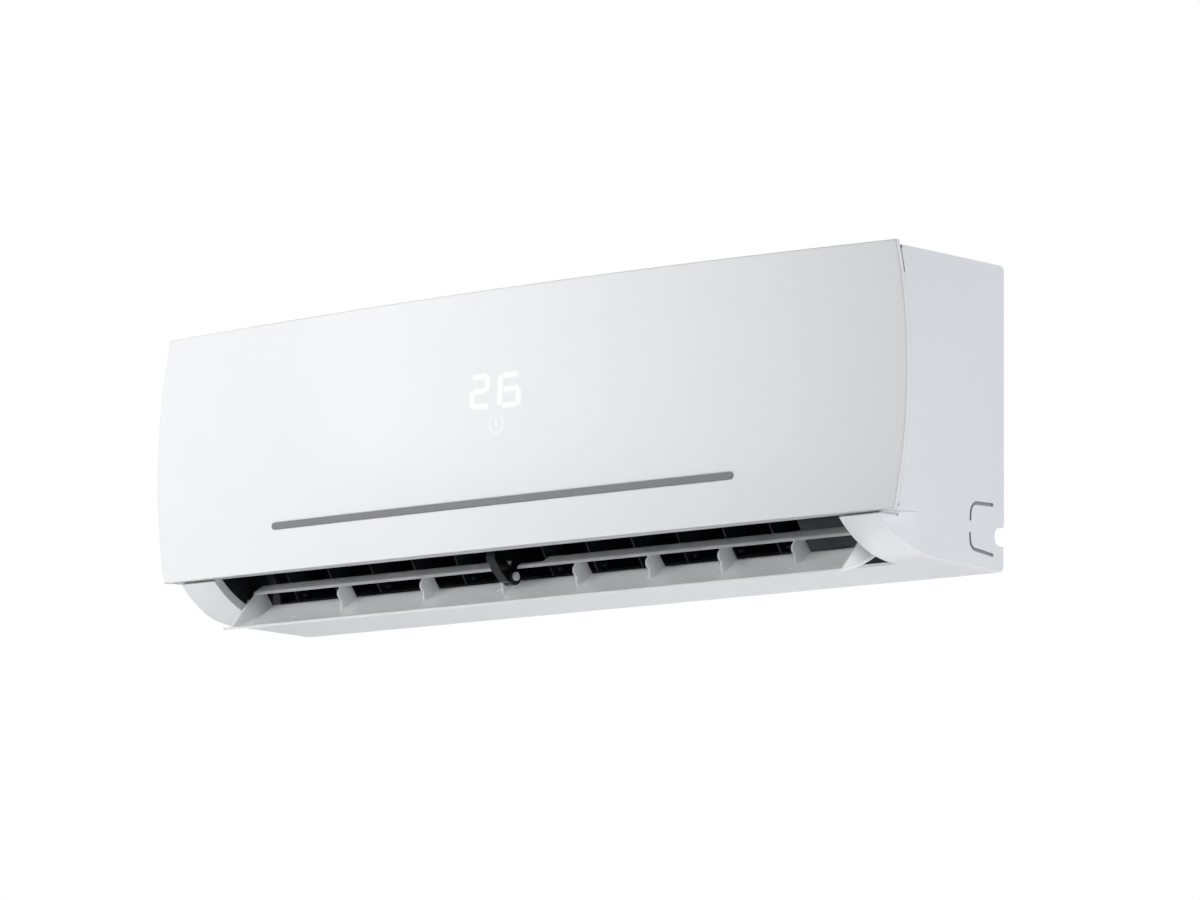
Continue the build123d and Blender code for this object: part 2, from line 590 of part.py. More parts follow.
def mounting_plate():
    """The steel plate that is screwed to the wall and carries the unit."""
    plate = box((-330, 300), (-1.5, 0), (70, 232))
    for x in (-260, 0, 230):
        plate -= box((x - 40, x + 40), (-3, 1), (95, 125))
    for x in (-SCREW_SPACING_X / 2, SCREW_SPACING_X / 2):
        for z in (-SCREW_SPACING_Z / 2, SCREW_SPACING_Z / 2):
            plate -= peg(x, (-3, 1), PLATE_CENTRE_Z + z, 2.6)
    for x in HOOKS_X:
        plate += box((x - 14, x + 14), (-9.2, -0.5), (226, 227.5))
        plate += box((x - 14, x + 14), (-9.2, -7.7), (226, 236))
    for x in CLIP_X:
        plate += box((x - 8, x + 8), (-1.5, 0), (0.8, 72))
    return plate


# ---- Coil ---------------------------------------------------------------------------------------
# Each slab of the coil: its lower and upper end in (Y, Z), walked from the front over the fan.
COIL_SLABS = (
    ((-146.0, 89.5), (-146.0, 180.0)),
    ((-150.0, 188.0), (-92.0, 245.0)),
    ((-77.5, 241.0), (-24.0, 188.0)),
)
COIL_THICKNESS, TUBES_PER_ROW, TUBE_RADIUS = 22.0, 4, 3.5
COIL_LEFT, COIL_RIGHT = -350.0, 262.0


def slab_point(slab, along, out):
    """(Y, Z) at a distance along a slab and outwards from its middle."""
    (y0, z0), (y1, z1) = slab
    length = hypot(y1 - y0, z1 - z0)
    dy, dz = (y1 - y0) / length, (z1 - z0) / length
    return y0 + dy * along - dz * out, z0 + dz * along + dy * out


def slab_section(slab, longer, thicker):
    """A slab's cross-section, grown by two margins."""
    (y0, z0), (y1, z1) = slab
    length, half = hypot(y1 - y0, z1 - z0) + longer, COIL_THICKNESS / 2 + thicker
    corners = [(-longer, -half), (length, -half), (length, half), (-longer, half)]
    return [slab_point(slab, along, out) for along, out in corners]


def tube_centres():
    """The tubes in the order that the refrigerant passes through them."""
    rows = []
    for out in (6.35, -6.35):
        row = []
        for slab in reversed(COIL_SLABS):
            (y0, z0), (y1, z1) = slab
            length = hypot(y1 - y0, z1 - z0)
            pitch = length / TUBES_PER_ROW
            row += [slab_point(slab, length - pitch * (n + 0.5), out) for n in range(TUBES_PER_ROW)]
        rows.append(row)
    return rows[0] + rows[1][::-1]


def evaporator_fins():
    """The packs of thin aluminium fins, each as one block with holes for the tubes."""
    fins = [profile(slab_section(slab, 0, 0), (COIL_LEFT, COIL_RIGHT)) for slab in COIL_SLABS]
    holes = [rod((COIL_LEFT - 1, COIL_RIGHT + 1), y, z, TUBE_RADIUS + 0.05) for y, z in tube_centres()]
    return [fin - holes for fin in fins]


def bend(x, side, start, end, radius):
    """A return bend between two tubes, on one side of the coil."""
    (y0, z0), (y1, z1) = start, end
    middle = Vector(x, (y0 + y1) / 2, (z0 + z1) / 2)
    half = hypot(y1 - y0, z1 - z0) / 2
    a, b = Vector(x, y0, z0), Vector(x, y1, z1)
    top = middle + Vector(side * half, 0, 0)
    path = ThreePointArc(a, top, b)
    section = Plane(origin=a, z_dir=(side, 0, 0)) * Circle(radius)
    return sweep(section, path=path)


def winding(radius):
    """A bar of one radius that winds through the fins and back."""
    left, right = COIL_LEFT - 6, COIL_RIGHT + 6
    centres = tube_centres()
    pieces = [rod((left, right), y, z, radius) for y, z in centres]
    for n, (start, end) in enumerate(zip(centres, centres[1:])):
        side = -1 if n % 2 == 0 else 1
        pieces.append(bend(left if side < 0 else right, side, start, end, radius))
    return pieces[0].fuse(*pieces[1:])


def evaporator_tubes():
    """The copper tube that winds through the fins."""
    return winding(TUBE_RADIUS) - winding(TUBE_RADIUS - 0.5)


def coil_plate(x):
    """The sheet that holds the tubes at one end of the coil."""
    sections = [profile(slab_section(slab, 3, 0.5), (x, x + 1.2)) for slab in COIL_SLABS]
    plate = sections[0].fuse(*sections[1:])
    for y, z in tube_centres():
        plate -= rod((x - 1, x + 3), y, z, TUBE_RADIUS + 0.1)
    return plate


def refrigerant_pipe(points, radius, bore, corner):
    """A copper pipe along straight runs joined by tangent bends."""
    path = FilletPolyline(*points, radius=corner)
    start = Plane(origin=path @ 0, z_dir=path % 0)
    return sweep(start * (Circle(radius) - Circle(bore)), path=path)


GAS_END_X, LIQUID_END_X = -60.0, -20.0
GAS_Y, GAS_Z, LIQUID_Y, LIQUID_Z = -26.0, 42.0, -36.0, 22.0


def gas_pipe():
    y, z = tube_centres()[0]
    down = (340, GAS_Y, GAS_Z)
    points = [(COIL_RIGHT + 6, y, z), (340, y, z), down, (GAS_END_X, GAS_Y, GAS_Z)]
    return refrigerant_pipe(points, 4.76, 4.0, 18)


def liquid_pipe():
    y, z = tube_centres()[-1]
    down = (349.5, LIQUID_Y, LIQUID_Z)
    points = [(COIL_RIGHT + 6, y, z), (349.5, y, z), down, (LIQUID_END_X, LIQUID_Y, LIQUID_Z)]
    return refrigerant_pipe(points, 3.18, 2.4, 14)


def flare_union(x, y, z, pipe_radius, thread_radius, bore):
    """A brass union: a socket for the pipe, a hexagon and a male flare end."""
    socket = rod((x - 10, x + 8), y, z, pipe_radius + 1.6)
    flats = RegularPolygon(thread_radius + 2.2, 6, major_radius=False)
    hexagon = extrude(Plane.YZ.offset(x - 12) * (Pos(y, z) * flats), 8)
    thread = rod((x - 26, x - 12), y, z, thread_radius)
    body = socket + hexagon + thread
    body -= rod((x, x + 9), y, z, pipe_radius)
    return body - rod((x - 27, x + 1), y, z, bore)


# ---- Fan and motor ------------------------------------------------------------------------------
BLADES, FAN_BAYS, MOTOR_RADIUS = 35, 9, 38.0


def cross_flow_fan():
    """The long blower wheel: curved blades between discs."""
    tip, root = FAN_RADIUS - 0.4, FAN_RADIUS - 10.5
    blade = ThreePointArc((tip, 0), (FAN_RADIUS - 6.2, 1.9), (root, 1.2))
    blade_face = trace(blade, 1.1)
    blades = [Rot(0, 0, 360 / BLADES * n) * blade_face for n in range(BLADES)]
    centre = Plane.YZ.offset(FAN_LEFT) * Pos(FAN_Y, FAN_Z)
    wheel = [extrude(centre * face, FAN_RIGHT - FAN_LEFT) for face in blades]
    pitch = (FAN_RIGHT - FAN_LEFT - 2) / FAN_BAYS
    for n in range(FAN_BAYS + 1):
        x = (FAN_LEFT + pitch * n, FAN_LEFT + pitch * n + 2)
        hole = SHAFT_RADIUS if n in (0, FAN_BAYS) else FAN_RADIUS - 13
        wheel.append(ring(x, FAN_Y, FAN_Z, FAN_RADIUS, hole))
    hubs = ((FAN_LEFT, FAN_LEFT + 16), (FAN_RIGHT - 22, FAN_RIGHT))
    wheel += [ring(x, FAN_Y, FAN_Z, 11, SHAFT_RADIUS) for x in hubs]
    return wheel[0].fuse(*wheel[1:])


def fan_stub_shaft():
    return rod((LEFT_WALL_X - 5, FAN_LEFT + 15), FAN_Y, FAN_Z, SHAFT_RADIUS)


def motor_shaft():
    return rod((FAN_RIGHT - 21, 312), FAN_Y, FAN_Z, SHAFT_RADIUS)


def fan_bearing():
    """The sintered bush at the fan's free end."""
    return ring((-370, -361), FAN_Y, FAN_Z, 8, SHAFT_RADIUS + RUNNING)


def bearing_seat():
    """The rubber ring between the bush and the chassis."""
    seat = ring((-369, -361), FAN_Y, FAN_Z, 16, 8)
    return seat + ring((-369, LEFT_WALL_X), FAN_Y, FAN_Z, 19, 8)


def fan_motor():
    """The sealed motor, with its boss towards the fan."""
    body = rod((293, 334), FAN_Y, FAN_Z, MOTOR_RADIUS) + rod((287, 294), FAN_Y, FAN_Z, 12)
    body += rod((333, 338), FAN_Y, FAN_Z, 16)
    return body - rod((286, 313), FAN_Y, FAN_Z, SHAFT_RADIUS + RUNNING)


def motor_clamp():
    """The strap over the motor, with an ear at each side."""
    strap = ring((303, 323), FAN_Y, FAN_Z, MOTOR_RADIUS + 2.6, MOTOR_RADIUS + 0.1)
    strap &= box((295, 330), (-130, -20), (FAN_Z, FAN_Z + 60))
    for y in CLAMP_SCREW_Y:
        ear = box((303, 323), (y - 4.2, y + 4.2), (FAN_Z, FAN_Z + 2.5))
        strap += ear - rod((300, 326), FAN_Y, FAN_Z, MOTOR_RADIUS + 0.1)
        strap -= Pos(CLAMP_SCREW_X, y, FAN_Z) * Cylinder(2.1, 10)
    return strap


def clamp_screws():
    """The two screws of the motor's strap."""
    screws = []
    for y in CLAMP_SCREW_Y:
        screw = Pos(CLAMP_SCREW_X, y, FAN_Z - 2.5) * Cylinder(1.8, 12)
        screw += Pos(CLAMP_SCREW_X, y, FAN_Z + 3.5) * Cylinder(3.4, 2)
        screws.append(screw - Pos(CLAMP_SCREW_X, y, FAN_Z + 4.3) * Box(4.6, 0.8, 1))
    return screws


# ---- Electrical parts ---------------------------------------------------------------------------
BOX_X, BOX_Y, BOX_Z = (356.0, 405.9), (-140.0, -12.0), (106.0, 250.0)


def control_box():
    """The open-fronted box for the electrical parts."""
    inside = box((BOX_X[0] + 2, BOX_X[1] - 2), (BOX_Y[0] - 5, BOX_Y[1] - 2), (BOX_Z[0] + 2, BOX_Z[1] - 2))
    gland = box((BOX_X[0] + 10, BOX_X[0] + 30), (-60, -30), (BOX_Z[0] - 1, BOX_Z[0] + 3))
    return box(BOX_X, BOX_Y, BOX_Z) - inside - gland


def control_box_cover():
    cover = box(BOX_X, (BOX_Y[0] - 2, BOX_Y[0] - 0.1), BOX_Z)
    lip = box((BOX_X[0] + 2.2, BOX_X[1] - 2.2), (BOX_Y[0] - 1, BOX_Y[0] + 4), (BOX_Z[0] + 2.2, BOX_Z[1] - 2.2))
    lip -= box((BOX_X[0] + 4, BOX_X[1] - 4), (BOX_Y[0] - 0.1, BOX_Y[0] + 5), (BOX_Z[0] + 4, BOX_Z[1] - 4))
    return cover + lip


def main_board():
    """The control board on its standoffs, with a row of sockets along its front edge."""
    board = box((BOARD_X, BOARD_X + 1.6), (-130, -20), (114, 242))
    for y in (-124, -26):
        for z in (120, 236):
            board += rod((BOARD_X + 1, BOX_X[1] - 2), y, z, 3)
    for z in (126, 138, 150):
        board += box((BOARD_X - 8, BOARD_X + 0.5), (-124, -114), (z - 4, z + 4))
    return board


def capacitor():
    return rod((BOARD_X - 30, BOARD_X), -50, 216, 12)


def relay():
    return box((BOARD_X - 15, BOARD_X), (-66, -44), (150, 178))


def terminal_block():
    """The screw terminals for the wires from the outdoor unit."""
    block = box((BOARD_X - 20, BOARD_X), (-128, -100), (160, 236))
    for n in range(4):
        z = 170 + 18.7 * n
        block -= box((BOARD_X - 30, BOARD_X - 10), (-124, -104), (z - 7, z + 7))
        block += rod((BOARD_X - 14, BOARD_X - 9), -114, z, 3.5)
    return block


def emergency_button():
    """The button behind the panel that starts the unit without its remote control."""
    frame = panel_face_y(BUTTON_X, BUTTON_Z) + RIM_OFFSET
    stem = peg(BUTTON_X, (frame - 1.8, frame + 7.2), BUTTON_Z, BUTTON_RADIUS)
    return stem + peg(BUTTON_X, (frame + 3.2, frame + 4.4), BUTTON_Z, BUTTON_RADIUS + 2)


def button_switch():
    """The small switch that the button presses, on its own board."""
    board = box((BUTTON_X - 16, BUTTON_X + 16), (SWITCH_BOARD_Y, SWITCH_BOARD_Y + 1.5), (70, 90))
    return board + box((BUTTON_X - 4, BUTTON_X + 4), (SWITCH_BOARD_Y - 4.5, SWITCH_BOARD_Y), (76, 84))


def room_sensor():
    """The air temperature sensor in its clip, on the side of the control box."""
    clip = box((350, BOX_X[0]), (-138, -126), (170, 182))
    return clip + rod((330, 351), -132, 176, 3)


def air_filter(x):
    """One filter: a ribbed frame round a fine mesh, bent over the top of the coil."""
    (left, right), bend = x, 24.0
    front, top = FILTER_Y, FILTER_TOP
    path = Line((front, 63.5), (front, top - bend))
    path += RadiusArc((front, top - bend), (front + bend, top), bend)
    path += Line((front + bend, top), (-34, top))
    mesh = along_x(trace(path, 0.8), (left, right))
    body = along_x(trace(path, 3.0), (left, left + 6)) + along_x(trace(path, 3.0), (right - 6, right))
    bays = 6
    for n in range(1, bays):
        middle = left + (right - left) / bays * n
        body += along_x(trace(path, 2.2), (middle - 1, middle + 1))
    for z in (63.5, 107, 150, 193, top - bend - 2):
        height = 6 if z == 63.5 else 2
        body += box((left, right), (front - 1.4, front + 1.4), (z, z + height))
    for y in (front + bend, -106, -72, -37.4):
        height = 3.4 if y == -37.4 else 2
        body += box((left, right), (y, y + height), (top - 1.4, top + 1.4))
    grip = box(((left + right) / 2 - 14, (left + right) / 2 + 14), (front - 5, front), (66, 68))
    return mesh + body + grip


def case_screws():
    """The screws that hold the front case."""
    screws = []
    for x in CASE_SCREW_X:
        face = panel_face_y(x, CASE_SCREW_Z) + RIM_OFFSET
        head = peg(x, (face - 2.4, face - 0.3), CASE_SCREW_Z, 3.6)
        shank = peg(x, (face - 0.5, face + 10), CASE_SCREW_Z, 2.0)
        cross = box((x - 2.2, x + 2.2), (face - 3, face - 1.2), (CASE_SCREW_Z - 0.4, CASE_SCREW_Z + 0.4))
        cross += box((x - 0.4, x + 0.4), (face - 3, face - 1.2), (CASE_SCREW_Z - 2.2, CASE_SCREW_Z + 2.2))
        screws.append(head + shank - cross)
    return screws


# ---- Writing ------------------------------------------------------------------------------------
def write(name, shape):
    """Writes one sub-part, moved so that the origin is the centre of the wall screws."""
    pieces = shape if isinstance(shape, list) else [shape]
    solids = [solid.moved(Location((0, 0, -PLATE_CENTRE_Z))) for p in pieces for solid in p.solids()]
    export_step(solids[0] if len(solids) == 1 else Compound(solids), f"parts/{name}.step")


os.makedirs("parts", exist_ok=True)
subparts = {
    "mounting_plate": mounting_plate(),
    "rear_chassis": rear_chassis(),
    "front_case": front_case(),
    "top_inlet_grille": top_inlet_grille(),
    "front_panel": front_panel(),
    "trim_strip": trim_strip(),
    "display_housing": display_housing(),
    "display_board": display_board(),
    "louver": louver(),
    "louver_centre_pin": louver_centre_pin(),
    "louver_centre_hook": louver_centre_hook(),
    "louver_motor": louver_motor(),
    "louver_motor_shaft": louver_motor_shaft(),
    "vane_carrier": vane_carrier(),
    "vane_link_left": vane_link(0),
    "vane_link_right": vane_link(VANES_PER_GROUP),
    "drain_pan": drain_pan(),
    "drain_spigot": drain_spigot(),
    "drain_plug": drain_plug(),
    "evaporator_fins": evaporator_fins(),
    "evaporator_tubes": evaporator_tubes(),
    "coil_plate_left": coil_plate(COIL_LEFT - 1.3),
    "coil_plate_right": coil_plate(COIL_RIGHT + 0.1),
    "gas_pipe": gas_pipe(),
    "liquid_pipe": liquid_pipe(),
    "gas_union": flare_union(GAS_END_X, GAS_Y, GAS_Z, 4.76, 7.94, 3.6),
    "liquid_union": flare_union(LIQUID_END_X, LIQUID_Y, LIQUID_Z, 3.18, 5.56, 2.2),
    "cross_flow_fan": cross_flow_fan(),
    "fan_stub_shaft": fan_stub_shaft(),
    "fan_bearing": fan_bearing(),
    "bearing_seat": bearing_seat(),
    "fan_motor": fan_motor(),
    "motor_shaft": motor_shaft(),
    "motor_clamp": motor_clamp(),
    "clamp_screws": clamp_screws(),
    "filter_left": air_filter(FILTER_X[0]),
    "filter_right": air_filter(FILTER_X[1]),
    "control_box": control_box(),
    "control_box_cover": control_box_cover(),
    "main_board": main_board(),
    "capacitor": capacitor(),
    "relay": relay(),
    "terminal_block": terminal_block(),
    "emergency_button": emergency_button(),
    "button_switch": button_switch(),
    "room_sensor": room_sensor(),
    "case_screws": case_screws(),
}
for index in range(VANE_COUNT):
    subparts[f"vane_{index + 1:02d}"] = vane(index)
for name, shape in subparts.items():
    write(name, shape)
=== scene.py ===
import json
from math import cos, pi, radians, sin

import bpy
from mathutils import Matrix, Vector
from mathutils.bvhtree import BVHTree


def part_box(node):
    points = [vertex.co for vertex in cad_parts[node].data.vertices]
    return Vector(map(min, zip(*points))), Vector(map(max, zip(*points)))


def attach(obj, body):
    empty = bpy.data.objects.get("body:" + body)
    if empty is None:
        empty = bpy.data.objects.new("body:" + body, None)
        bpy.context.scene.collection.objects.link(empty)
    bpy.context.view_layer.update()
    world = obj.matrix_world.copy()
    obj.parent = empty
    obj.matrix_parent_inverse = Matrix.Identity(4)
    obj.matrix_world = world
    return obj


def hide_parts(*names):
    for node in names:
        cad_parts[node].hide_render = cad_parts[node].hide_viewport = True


# A wall-hung mini split indoor unit, seen from below and to its right. Places are in the frame of
# the CAD parts: X to the right, Y back to the wall, Z up from the centre of the wall screws. They
# are in metres, or in millimetres where they are multiplied by MM.

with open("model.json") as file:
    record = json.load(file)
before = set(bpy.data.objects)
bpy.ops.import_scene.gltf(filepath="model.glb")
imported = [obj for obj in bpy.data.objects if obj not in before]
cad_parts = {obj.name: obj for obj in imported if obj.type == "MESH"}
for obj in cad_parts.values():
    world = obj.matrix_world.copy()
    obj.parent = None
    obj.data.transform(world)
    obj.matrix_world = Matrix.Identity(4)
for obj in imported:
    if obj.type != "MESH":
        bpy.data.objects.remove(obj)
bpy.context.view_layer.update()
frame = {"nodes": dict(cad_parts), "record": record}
nodes = frame["nodes"]
MM = 0.001

# ---- Camera -------------------------------------------------------------------------------------
CAMERA_PLACE = Vector((3.4220, -4.1132, -0.6732))
CAMERA_YAW, CAMERA_PITCH, CAMERA_ROLL = 40.145, 7.126, -0.68  # degrees
CAMERA_LENS, CAMERA_SENSOR = 175.65, 36.0  # millimetres
CAMERA_REACH = 100.0


def make_camera():
    """The camera, turned to one side, then up, then about its own axis."""
    yaw, pitch, roll = (radians(a) for a in (CAMERA_YAW, CAMERA_PITCH, CAMERA_ROLL))
    forward = Vector((-sin(yaw) * cos(pitch), cos(yaw) * cos(pitch), sin(pitch)))
    level = Vector((cos(yaw), sin(yaw), 0))
    above = level.cross(forward)
    right = level * cos(roll) + above * sin(roll)
    up = above * cos(roll) - level * sin(roll)
    data = bpy.data.cameras.new("camera")
    data.lens, data.sensor_width = CAMERA_LENS, CAMERA_SENSOR
    data.clip_end = CAMERA_REACH
    camera = bpy.data.objects.new("camera", data)
    bpy.context.scene.collection.objects.link(camera)
    rows = [(r, u, -f, p) for r, u, f, p in zip(right, up, forward, CAMERA_PLACE)]
    camera.matrix_world = Matrix([*rows, (0, 0, 0, 1)])
    bpy.context.scene.camera = camera


# ---- Light --------------------------------------------------------------------------------------
FLOOR_Z, FLOOR_HALF = -0.95, 12.0
WHITE = (1, 1, 1)
AMBIENT = (0.93, 0.965, 1.0)
AMBIENT_STRENGTH = 0.09


def make_world():
    """A cool, even light; seen directly or in a reflection, the world is white."""
    world = bpy.data.worlds.new("studio")
    bpy.context.scene.world = world
    world.use_nodes = True
    tree = world.node_tree
    tree.nodes.clear()
    path = tree.nodes.new("ShaderNodeLightPath")
    seen = path.outputs["Is Camera Ray"]
    for ray in ("Is Glossy Ray", "Is Transmission Ray"):
        either = tree.nodes.new("ShaderNodeMath")
        either.operation = "MAXIMUM"
        tree.links.new(seen, either.inputs[0])
        tree.links.new(path.outputs[ray], either.inputs[1])
        seen = either.outputs[0]
    mixed = tree.nodes.new("ShaderNodeMixShader")
    tree.links.new(seen, mixed.inputs["Fac"])
    for place, colour, strength in ((1, AMBIENT, AMBIENT_STRENGTH), (2, WHITE, 1.0)):
        sky = tree.nodes.new("ShaderNodeBackground")
        sky.inputs["Color"].default_value = (*colour, 1)
        sky.inputs["Strength"].default_value = strength
        tree.links.new(sky.outputs[0], mixed.inputs[place])
    output = tree.nodes.new("ShaderNodeOutputWorld")
    tree.links.new(mixed.outputs[0], output.inputs["Surface"])


def make_lamp(name, place, target, size, watts, colour=WHITE, mirrored=True):
    """A rectangular lamp that faces its target. The camera never sees it; a reflection may."""
    data = bpy.data.lights.new(name, "AREA")
    data.shape = "RECTANGLE"
    data.size, data.size_y = size
    data.energy = watts
    data.color = colour
    lamp = bpy.data.objects.new(name, data)
    lamp.location = place
    lamp.rotation_euler = (Vector(target) - Vector(place)).to_track_quat("-Z", "Y").to_euler()
    lamp.visible_camera = False
    lamp.visible_glossy = mirrored
    bpy.context.scene.collection.objects.link(lamp)


def make_floor():
    """A pale floor far below the unit, which throws light back up."""
    mesh = bpy.data.meshes.new("floor")
    corners = ((-1, -1), (1, -1), (1, 1), (-1, 1))
    points = [(x * FLOOR_HALF, y * FLOOR_HALF, FLOOR_Z) for x, y in corners]
    mesh.from_pydata(points, [], [(0, 1, 2, 3)])
    floor = bpy.data.objects.new("floor", mesh)
    bpy.context.scene.collection.objects.link(floor)
    finish = Finish("floor", roughness=0.7)
    cloud = finish.noise(0.8, detail=2)
    finish.colour(srgb(226, 226, 227), srgb(230, 230, 231), cloud)
    mesh.materials.append(finish.material)


# ---- Materials ----------------------------------------------------------------------------------
def srgb(*values):
    """A colour given as it looks on a screen, as the linear values that a shader takes.

    The numbers are those of the sRGB standard's curve.
    """
    shares = [v / 255 for v in values]
    return tuple(s / 12.92 if s <= 0.04045 else ((s + 0.055) / 1.055) ** 2.4 for s in shares)


WAVE_ANGLE = 20  # radians that a wave texture of scale 1 runs through in one metre


class Finish:
    """A procedural material round one shader. Its patterns have real sizes, in metres."""

    def __init__(self, name, roughness=0.5, **fixed):
        self.material = bpy.data.materials.new(name)
        self.material.use_nodes = True
        self.tree = self.material.node_tree
        self.shader = self.tree.nodes["Principled BSDF"]
        self.shader.inputs["Roughness"].default_value = roughness
        for words, value in fixed.items():
            self.shader.inputs[words.replace("_", " ")].default_value = value
        self.place = self.add("TexCoord").outputs["Object"]
        self.normal = None

    def add(self, kind, inputs=(), **settings):
        """A node, with its settings and with a value or a link for each input."""
        made = self.tree.nodes.new("ShaderNode" + kind)
        for word, value in settings.items():
            setattr(made, word, value)
        for key, value in dict(inputs).items():
            if isinstance(value, bpy.types.NodeSocket):
                self.tree.links.new(value, made.inputs[key])
            else:
                made.inputs[key].default_value = value
        return made

    def noise(self, size, detail=2.0, stretch=(1, 1, 1)):
        """Clouds of about one size, stretched along the axes."""
        scale = [1 / s for s in stretch]
        mapped = self.add("Mapping", {"Vector": self.place, "Scale": scale})
        inputs = {"Vector": mapped.outputs[0], "Scale": 1 / size, "Detail": detail}
        return self.add("TexNoise", inputs).outputs["Fac"]

    def stripes(self, pitch, axis):
        """Lines across one axis, as a smooth wave from 0 to 1."""
        scale = 2 * pi / (WAVE_ANGLE * pitch)
        inputs = {"Vector": self.place, "Scale": scale, "Distortion": 0.0}
        wave = self.add("TexWave", inputs, bands_direction=axis, wave_profile="SIN")
        return wave.outputs["Fac"]

    def maths(self, operation, a, b=0.0):
        return self.add("Math", {0: a, 1: b}, operation=operation).outputs[0]

    def between(self, factor, low, high):
        """A factor from 0 to 1, as a value between two others."""
        inputs = {"Value": factor, "To Min": low, "To Max": high}
        return self.add("MapRange", inputs).outputs[0]

    def threshold(self, factor, start, end):
        """0 below one value of a factor and 1 above another, with a soft step between."""
        inputs = {"Value": factor, "From Min": start, "From Max": end}
        return self.add("MapRange", inputs, interpolation_type="SMOOTHSTEP").outputs[0]

    def mix(self, factor, a, b):
        """One colour where a factor is 0 and another where it is 1."""
        made = self.add("Mix", data_type="RGBA")
        for key, value in ((0, factor), (6, a), (7, b)):
            if isinstance(value, bpy.types.NodeSocket):
                self.tree.links.new(value, made.inputs[key])
            else:
                made.inputs[key].default_value = value if key == 0 else (*value, 1)
        return made.outputs[2]

    def set_colour(self, socket):
        self.tree.links.new(socket, self.shader.inputs["Base Color"])

    def colour(self, a, b, factor):
        """The shader's colour, between two colours."""
        self.set_colour(self.mix(factor, a, b))

    def rough(self, low, high, factor):
        """The shader's roughness, between two values."""
        value = self.between(factor, low, high)
        self.tree.links.new(value, self.shader.inputs["Roughness"])

    def soft_edges(self, radius):
        """Rounds the shading of sharp edges, as a mould does."""
        bevel = self.add("Bevel", {"Radius": radius}, samples=6)
        self.normal = bevel.outputs[0]
        self.tree.links.new(self.normal, self.shader.inputs["Normal"])

    def bump(self, height, depth):
        """Fine relief of a real depth, on top of the soft edges if there are any."""
        inputs = {"Height": height, "Distance": depth, "Strength": 1.0}
        if self.normal:
            inputs["Normal"] = self.normal
        self.normal = self.add("Bump", inputs).outputs[0]
        self.tree.links.new(self.normal, self.shader.inputs["Normal"])


def shades(colour, mottle):
    """A colour made a little darker and a little lighter."""
    base = srgb(*colour)
    return tuple(c * (1 - mottle) for c in base), tuple(min(1.0, c * (1 + mottle)) for c in base)


def moulded(name, colour, roughness, grain=0.03 * MM, edge=0.8 * MM, mottle=0.012, **fixed):
    """Moulded plastic: faint clouds in its colour, a fine grain and soft edges."""
    finish = Finish(name, **fixed)
    finish.colour(*shades(colour, mottle), finish.noise(60 * MM, detail=3))
    finish.rough(roughness - 0.04, roughness + 0.04, finish.noise(9 * MM, detail=4))
    if edge:
        finish.soft_edges(edge)
    finish.bump(finish.noise(0.9 * MM, detail=3), grain)
    return finish.material


def metal(name, colour, roughness, scratch=(1, 1, 1), grain=0.01 * MM, mottle=0.06):
    """Bare metal, with the direction of its rolling or turning."""
    finish = Finish(name, Metallic=1.0)
    finish.colour(*shades(colour, mottle), finish.noise(12 * MM, detail=4, stretch=scratch))
    turned = finish.noise(3 * MM, detail=5, stretch=scratch)
    finish.rough(roughness - 0.08, roughness + 0.08, turned)
    finish.bump(finish.noise(0.6 * MM, detail=4, stretch=scratch), grain)
    return finish.material


def galvanised():
    """Zinc-coated sheet, with its flat crystals."""
    finish = Finish("galvanised", Metallic=1.0)
    inputs = {"Vector": finish.place, "Scale": 1 / (7 * MM)}
    crystals = finish.add("TexVoronoi", inputs).outputs["Color"]
    shade = finish.add("SeparateColor", {0: crystals}).outputs[0]
    finish.colour(srgb(158, 162, 166), srgb(188, 192, 196), shade)
    finish.rough(0.3, 0.5, shade)
    finish.bump(finish.noise(0.8 * MM, detail=3), 0.01 * MM)
    return finish.material


def fin_sheet():
    """Thin aluminium with the faint waves of its press tool."""
    finish = Finish("fin_aluminium", Metallic=1.0)
    finish.colour(srgb(176, 182, 188), srgb(206, 211, 216), finish.noise(5 * MM, detail=4))
    finish.rough(0.28, 0.42, finish.noise(2 * MM, detail=3))
    finish.bump(finish.noise(1.5 * MM, detail=2), 0.03 * MM)
    return finish.material


def filter_net():
    """A frame of moulded plastic round a net with square holes."""
    finish = Finish("filter_grey")
    pitch = 1.2 * MM
    across = finish.stripes(pitch, "X")
    down = finish.stripes(pitch, "Z")
    back = finish.stripes(pitch, "Y")
    net = finish.maths("MAXIMUM", across, finish.maths("MAXIMUM", down, back))
    thread = finish.threshold(net, 0.55, 0.85)
    cloud = finish.noise(30 * MM, detail=3)
    pale = finish.mix(cloud, srgb(166, 168, 170), srgb(178, 180, 182))
    finish.set_colour(finish.mix(thread, srgb(92, 94, 96), pale))
    finish.rough(0.45, 0.6, cloud)
    finish.bump(thread, 0.12 * MM)
    return finish.material


def circuit_board():
    """Green lacquer over faint copper tracks."""
    finish = Finish("board_green")
    inputs = {"Vector": finish.place, "Scale": 1 / (5 * MM), "Randomness": 0.25}
    cells = finish.add("TexVoronoi", inputs, distance="CHEBYCHEV", feature="F1").outputs["Distance"]
    track = finish.threshold(cells, 0.3, 0.34)
    finish.colour(srgb(34, 96, 58), srgb(24, 76, 46), track)
    finish.rough(0.25, 0.4, finish.noise(6 * MM))
    finish.bump(track, 0.04 * MM)
    return finish.material


def trim_metal():
    """Grey metallic lacquer with a fine brushed grain along its length."""
    finish = Finish("strip_grey", Specular_IOR_Level=0.4)
    brushed = finish.noise(0.5 * MM, detail=4, stretch=(60, 1, 1))
    finish.colour(srgb(118, 118, 120), srgb(132, 132, 134), brushed)
    finish.rough(0.34, 0.46, brushed)
    finish.soft_edges(0.6 * MM)
    finish.bump(brushed, 0.01 * MM)
    return finish.material


